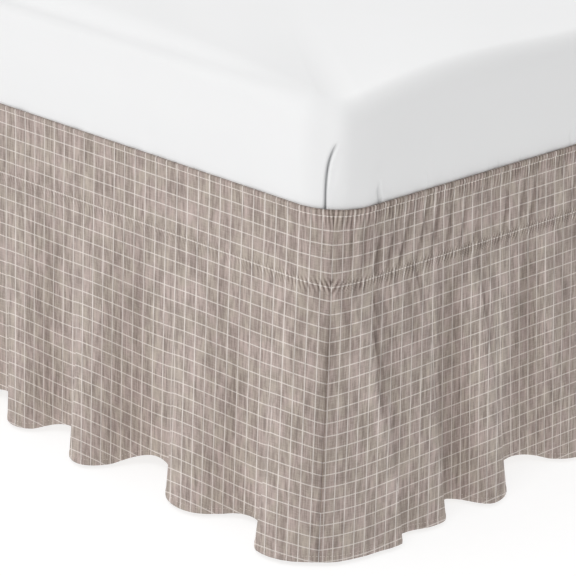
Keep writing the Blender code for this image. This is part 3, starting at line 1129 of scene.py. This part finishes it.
# %% Thread
STITCH_PITCH = 0.0045
STITCH_LENGTH = 0.0030
THREAD = 0.00030            # half the thread's thickness
THREAD_TWIST = 0.4          # mm
THREAD_DARK = (0.70, 0.63, 0.57, 1.0)
THREAD_LIGHT = (0.84, 0.77, 0.71, 1.0)
STITCH_ROWS = (FIRST_ROW, ELASTIC_DROP, SKIRT_DROP - HEM_DEPTH)
STITCH_RINGS = ((-0.5, 0.3), (0.0, 1.0), (0.5, 0.3))    # places along it, and thickness
STITCH_POINTS = 12


def thread_finish():
    thread = Finish("cream thread", roughness=0.7)
    places = [place * MM / THREAD_TWIST for place in thread.object_place()]
    twist = thread.noise(thread.vector(*places))
    colour = thread.mix(twist, THREAD_DARK, THREAD_LIGHT)
    return thread.finish_with(colour, twist, depth=0.0001)


THREAD_FINISH = thread_finish()


# %% Stitches
def stitch_faces(first):
    """Skin three rings of four points and close the ends."""
    faces = []
    for ring in (first, first + 4):
        for side in range(4):
            after = (side + 1) % 4
            faces.append((ring + side, ring + after, ring + 4 + after, ring + 4 + side))
    faces.append((first + 3, first + 2, first + 1, first))
    faces.append((first + 8, first + 9, first + 10, first + 11))
    return faces


def sew_stitches(panel):
    """Bits of thread with four sides and tapered ends, lying on the face of the cloth."""
    places = column_places(panel.length)
    points, faces = [], []
    for drop in STITCH_ROWS:
        arc = panel.row(places, drop).arc
        count = int(arc[-1] / STITCH_PITCH)
        middles = (np.arange(count) + 0.5) / count * arc[-1]
        rings = []
        for offset, thickness in STITCH_RINGS:
            wanted = np.interp(middles + offset * STITCH_LENGTH, arc, places)
            for push, lift in ((-1, 0), (0, 1), (1, 0), (0, -1)):
                height = THREAD * (0.5 + push * thickness)
                ring = panel.points_at(wanted, places, drop, push=height)
                ring[:, 2] += lift * THREAD * thickness
                rings.append(ring)
        for stitch in np.array(rings).transpose(1, 0, 2):
            faces += stitch_faces(len(points))
            points += stitch.tolist()
    if not panel.mirrored:
        faces = [face[::-1] for face in faces]
    return link_mesh(panel.name + "_stitches", points, faces, THREAD_FINISH)


stitches = {}
for use in uses:
    thread = sew_stitches(use.panel)
    stitches[use.panel.name] = thread
    print(f"{use.panel.name}: {len(thread.data.vertices) // STITCH_POINTS} stitches")

# %% [markdown]
# ## The fitted sheet on the mattress
#
# A fitted sheet is pulled tight round the mattress. It draws the corners down and in,
# so the top edge climbs away from each corner. The pocket corner makes one deep
# upright crease, and the skirt's elastic draws short puckers up from the header. The
# mattress under it is filled, so this piece is one closed form.

# %% The outline of the mattress
MATTRESS_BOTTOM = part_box("mattress")[0].z
CORNER_EDGE = 0.599         # height of the top edge at a corner
EDGE_CLIMB = 0.035          # how much higher it is along the sides
CLIMB_LENGTH = 0.15
EDGE_DIPS = (0.016, 0.010, 0.012, 0.009)    # past each corner the edge sags again
DIP_PLACE, DIP_WIDTH = 0.50, 0.20
EDGE_WANDER = 0.0012
CORNER_BLEND = 0.05
TOP_CROWN = 0.006
SIDE_BULGE = 0.007
EDGE_ROUND = 0.032          # radius of the top edge
CORNER_STEPS = 64
STRAIGHT_STEP = 0.008
PULL_OFFSETS = np.arange(-0.0050, 0.0066, 0.0011)
END_PATH, SIDE_PATH = path_length(BED_WIDTH), path_length(BED_LENGTH)
WHOLE_PATH = 2 * (END_PATH + SIDE_PATH)

PULL_SLANT = 0.22
Pull = namedtuple("Pull", "place rise depth width")

PULLS = (       # places from a corner along the foot; a depth under zero makes a ridge
    Pull(0.0670, 0.028, 0.0040, 0.0024),
    Pull(0.1560, 0.034, -0.0012, 0.0018),
    Pull(0.2075, 0.020, -0.0010, 0.0018),
    Pull(0.2740, 0.014, -0.0011, 0.0020),
    Pull(0.3000, 0.010, 0.0012, 0.0022),
    Pull(0.3400, 0.014, -0.0012, 0.0020),
    Pull(0.4500, 0.020, 0.0012, 0.0030),
)


def straight_places(length, has_pulls):
    """Distances along a straight side, closer together at each pull."""
    places = np.linspace(0, length, round(length / STRAIGHT_STEP) + 1)
    if has_pulls:
        middles = np.array([pull.place - CORNER_RADIUS * math.pi / 4 for pull in PULLS])
        close = (middles[:, None] + PULL_OFFSETS).ravel()
        places = np.concatenate([places, close, length - close])
    places = np.unique(places.round(4))
    return places[(places > 0) & (places < length - 0.0001)]


def mattress_outline():
    """Middles, directions and path places of the outline, from the left foot corner on."""
    reach = np.array([BED_WIDTH / 2 - CORNER_RADIUS, BED_LENGTH / 2 - CORNER_RADIUS])
    middles, facings = [], []
    corners = np.array([(-1, -1), (1, -1), (1, 1), (-1, 1)]) * reach
    for turn in range(4):
        middle, after = corners[turn], corners[(turn + 1) % 4]
        for step in range(CORNER_STEPS + 1):
            angle = math.pi * (1 + turn / 2 + step / CORNER_STEPS / 2)
            middles.append(middle)
            facings.append((math.cos(angle), math.sin(angle)))
        length = np.linalg.norm(after - middle)
        for place in straight_places(length, has_pulls=turn % 2 == 0):
            middles.append(middle + (after - middle) * place / length)
            facings.append(facings[-1])
    middles, facings = np.array(middles), np.array(facings)
    place = run_along(middles + facings * CORNER_RADIUS)
    return middles, facings, place - CORNER_RADIUS * math.pi / 4


outline_middles, outline_facings, outline_place = mattress_outline()
print(f"the outline of the mattress has {len(outline_place)} points")


# %% Distances from the corners
def from_corners():
    """For each corner, distances along the outline, positive on the foot or the head."""
    distances = []
    corners = (0.0, END_PATH, END_PATH + SIDE_PATH, 2 * END_PATH + SIDE_PATH)
    for number, corner in enumerate(corners):
        away = (outline_place - corner + WHOLE_PATH / 2) % WHOLE_PATH - WHOLE_PATH / 2
        distances.append(-away if number % 2 else away)
    return distances


def wander_round(wavelength, seed, shift=0.0):
    """Noise round the mattress that meets itself."""
    return wander(outline_place + shift, wavelength, seed, loop=WHOLE_PATH)


corner_distances = from_corners()
nearest_corner = np.min(np.abs(corner_distances), axis=0)
rounded_corner = np.sqrt(nearest_corner ** 2 + CORNER_BLEND ** 2) - CORNER_BLEND
edge_height = CORNER_EDGE + EDGE_CLIMB * (1 - np.exp(-rounded_corner / CLIMB_LENGTH))
edge_height += EDGE_WANDER * wander_round(0.30, 81)
for away, dip in zip(corner_distances, EDGE_DIPS):
    edge_height -= dip * bell(away, DIP_PLACE, DIP_WIDTH)
on_a_side = np.abs(outline_facings[:, 0]) ** 3

# %% Creases of the sheet
CREASE_RISE = 0.090         # how high the pocket corner's crease reaches above the skirt
CREASE_PLACE = -0.0115      # from the corner, at the skirt
CREASE_CURVE = 0.0110       # how far it has curved towards the corner at its top
CREASE_DEPTH = 0.0045
CREASE_WIDTH = 0.0016
HEADER_ROOM = 0.0003        # a ridge mustn't reach the header
SHOULDER = 0.0060           # the pocket makes the corner squarer
SHOULDER_START = -0.004
SHOULDER_SHIFT = 0.010
SHOULDER_REACH = 0.035      # above the skirt, until it is whole
GROOVE_HEIGHT = 0.606       # a long shallow groove under the edge of each side
GROOVE_DEPTH = 0.0036
SHEET_RIPPLE = 0.0005


def pocket_crease(away, above, started):
    """The corner's crease and the shoulder beside it: a push outward, and a painted shade."""
    rise = np.clip(above / CREASE_RISE, 0, 1)
    line = away - (CREASE_PLACE + CREASE_CURVE * rise ** 4)
    strength = (1 - rise ** 8) * started
    push = 0.0015 * strength * bell(line, 0.004, 0.003)
    push -= CREASE_DEPTH * strength * bell(line, 0.0, CREASE_WIDTH)
    cleared = ramp(above, 0.0, SHOULDER_REACH)
    past = away - (SHOULDER_START + SHOULDER_SHIFT * cleared)
    push += SHOULDER * cleared * bell(past, 0, np.where(past > 0, 0.018, 0.016))
    return push, 0.95 * strength * bell(line, 0.0, 0.0013)


def pull_crease(pull, away, above, started):
    """One short pull up from the header: a push outward, and a painted shade."""
    lifted = np.clip(above, 0, None)
    fading = np.exp(-(lifted / pull.rise) ** 2) * started
    strength = pull.depth * fading * (0.45 + 0.55 * np.clip(above / 0.012, 0, 1))
    line = away + PULL_SLANT * lifted - pull.place
    push = 0.6 * strength * bell(line, 1.9 * pull.width, 1.4 * pull.width)
    push -= strength * bell(line, 0, pull.width)
    return push, 90 * strength * bell(line, -0.3 * pull.width, 0.5 * pull.width)


def sheet_relief(heights):
    """Creases on the side of the sheet: a push outward, and a painted shade."""
    above = heights - SKIRT_TOP
    started = np.clip((above + 0.012) / 0.010, 0, 1)
    push = SHEET_RIPPLE * wander_round(0.060, 71) * np.exp(-np.clip(above, 0, None) / 0.03)
    push += SHEET_RIPPLE * wander_round(0.160, 72, shift=0.8 * heights)
    in_crease = np.zeros_like(push)
    # Each crease gives a push and a painted shade along its line.
    for away in corner_distances:
        creases = [pocket_crease(away, above, started)]
        creases += [pull_crease(pull, away, above, started) for pull in PULLS]
        for crease_push, depth in creases:
            push += crease_push
            in_crease += depth
    groove = bell(heights, GROOVE_HEIGHT, 0.007) * on_a_side
    push -= GROOVE_DEPTH * groove * (1 + 0.3 * wander_round(0.25, 82))
    push = np.minimum(push, HEADER_ROOM + 0.15 * np.clip(above, 0, None))
    # The groove is painted a little darker as well.
    return push, np.clip(in_crease + 0.08 * groove, 0, 1)


# %% The rings of the sheet
BOTTOM_RISES = (0.0, 0.0035, 0.0115, 0.030, 0.050)      # from the mattress's bottom
TUCK_PLACES = (-0.0627, -0.059, -0.051)                 # from the skirt's top
TUCKS = (-0.014, -0.006, 0.0)
HEADER_FILL = 0.0012        # the sheet fills the header
FINE_RINGS = np.arange(-0.006, 0.036, 0.003)            # round the skirt's top
FINE_REACH = 0.036
SIDE_RINGS = 18
EDGE_RINGS = 8
TOP_INSETS = (0.004, 0.010, 0.018, 0.030, 0.050, 0.085, 0.14, 0.22, 0.32, 0.44, 0.56, 0.68)
SETTLING = 0.12             # from the edge, the top has settled to its mean height
TOP_RIPPLE = 0.0010


def side_growth(heights):
    """How far the side stands out from the plain outline."""
    above = heights - SKIRT_TOP
    growth = np.interp(above, TUCK_PLACES, TUCKS)
    growth = growth + HEADER_FILL * ramp(above, -0.014, 0.012)
    return growth + SIDE_BULGE * ramp(above, -0.020, 0.095)


def side_ring(heights, turned=0.0):
    """A ring on the side, or on the rounded edge once it has turned by an angle."""
    push, in_crease = sheet_relief(heights)
    growth = CORNER_RADIUS + side_growth(heights) + push * math.cos(turned)
    growth = growth - EDGE_ROUND * (1 - math.cos(turned))
    level = outline_middles + outline_facings * growth[:, None]
    return np.column_stack([level, heights]), in_crease * math.cos(turned)


def top_ring(rim, inset):
    """A ring on the top, this far in from the edge."""
    share = 1 - inset / (BED_WIDTH / 2)
    settled = math.exp(-(inset / SETTLING) ** 1.3)
    heights = edge_height * settled + np.mean(edge_height) * (1 - settled)
    heights = heights + TOP_CROWN * (1 - share ** 2)
    ripple = wander_round(0.40, 83, shift=inset)
    heights += TOP_RIPPLE * ripple * min(1, inset / 0.08) * share
    return np.column_stack([rim * share, heights]), np.zeros(len(rim))


def sheet_rings():
    """Rings from the bottom of the mattress to its crown, with their painted shade."""
    side_top = edge_height - EDGE_ROUND
    plain = np.ones_like(side_top)
    fine_top = SKIRT_TOP + FINE_REACH
    rings = [side_ring((MATTRESS_BOTTOM + rise) * plain) for rise in BOTTOM_RISES]
    rings += [side_ring((SKIRT_TOP + rise) * plain) for rise in FINE_RINGS]
    for share in np.linspace(0, 1, SIDE_RINGS, endpoint=False):
        rings.append(side_ring(fine_top + (side_top - fine_top) * share))
    for turned in np.linspace(0, math.pi / 2, EDGE_RINGS + 1):
        rings.append(side_ring(side_top + EDGE_ROUND * math.sin(turned), turned))
    rim = rings[-1][0][:, :2]
    return rings + [top_ring(rim, inset) for inset in TOP_INSETS]


def skin_closed(name, rings, material):
    """Skin rings of the same number of points and close both ends."""
    count = len(rings[0][0])
    faces = []
    for ring in range(len(rings) - 1):
        low, high = ring * count, (ring + 1) * count
        for step in range(count):
            after = (step + 1) % count
            faces.append((low + step, low + after, high + after, high + step))
    last = (len(rings) - 1) * count
    faces.append(tuple(range(count))[::-1])
    faces.append(tuple(range(last, last + count)))
    item = link_mesh(name, np.concatenate([points for points, _ in rings]), faces, material)
    store_painted_shade(item.data, np.concatenate([in_crease for _, in_crease in rings]))
    return item


fitted_sheet = skin_closed("fitted_sheet", sheet_rings(), WHITE_COTTON)
print(f"fitted sheet: {len(fitted_sheet.data.polygons)} faces")

# %% [markdown]
# ## Putting the pieces on the bed
#
# Each piece rides on the bed's one body and hides the plain solid that it replaces.
# A gathered panel is a plain rectangle that the elastic draws together above the hem,
# the widest place, so the length it was cut to is the run of the flutes along the
# hem. The loop below works that run out for each panel.

# %% Riding on the bed's body
for use in uses:
    cloth, thread = cloths[use.panel.name], stitches[use.panel.name]
    for piece in (cloth, thread):
        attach(piece, "root")
    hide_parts(use.node)
    hem_run = use.panel.row(column_places(use.panel.length), SKIRT_DROP).arc[-1]

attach(fitted_sheet, "root")
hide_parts("mattress")

# %% [markdown]
# ## Floor and light
#
# The photograph is a bright, flat catalogue picture, so the setting is a white sweep
# that glows a little, as a floor lit from below does, under a broad soft sky. The sky
# is brighter on the left side of the bed than at its foot, and one soft lamp on the
# left draws out the folds.

# %% Floor
FLOOR_REACH = 30.0
FLOOR_GLOW = 0.78
FLOOR_GREYS = ((0.27, 0.27, 0.27, 1.0), (0.29, 0.29, 0.29, 1.0))
WHITE = (1.0, 1.0, 1.0, 1.0)


def plain_floor():
    paint = Finish("white sweep", roughness=0.8)
    speckle = paint.noise(paint.vector(*[place * 40 for place in paint.object_place()]))
    paint.shader.inputs["Emission Color"].default_value = WHITE
    paint.shader.inputs["Emission Strength"].default_value = FLOOR_GLOW
    paint.finish_with(paint.mix(speckle, *FLOOR_GREYS), speckle, depth=0.0001)
    reach = FLOOR_REACH
    corners = [(-reach, -reach, 0), (reach, -reach, 0), (reach, reach, 0), (-reach, reach, 0)]
    floor = link_mesh("floor", corners, [(0, 1, 2, 3)], paint.material)


plain_floor()

# %% Light
BRIGHT_SIDE = (0.0, 1.0, 0.0)
SKY_LEVEL = 0.87
SKY_SLANT = 0.47


def soft_sky():
    """A white sky that is brighter towards one side."""
    world = bpy.data.worlds.new("white studio")
    bpy.context.scene.world = world
    world.use_nodes = True
    sky = Nodes(world.node_tree)
    direction = sky.node("ShaderNodeTexCoord", {}, {}, output=0)
    towards = sky.node("ShaderNodeVectorMath", {"operation": "DOT_PRODUCT"},
                       {0: direction, 1: BRIGHT_SIDE}, output=1)
    background = world.node_tree.nodes["Background"]
    sky.feed(background.inputs["Strength"], SKY_LEVEL + towards * SKY_SLANT)
    background.inputs["Color"].default_value = WHITE


def soft_box(name, place, aim, size, power):
    """A square area light at a place, turned to its aim."""
    light = bpy.data.lights.new(name, "AREA")
    light.shape = "SQUARE"
    light.size = size
    light.energy = power
    lamp = bpy.data.objects.new(name, light)
    lamp.location = place
    lamp.rotation_euler = (Vector(aim) - Vector(place)).to_track_quat("-Z", "Y").to_euler()
    bpy.context.scene.collection.objects.link(lamp)


soft_sky()
soft_box("high lamp", (-3.4, -1.6, 5.2), (0, 0, 0.3), 1.4, 52)
bpy.context.scene.view_settings.view_transform = "Standard"
bpy.context.scene.view_settings.look = "None"
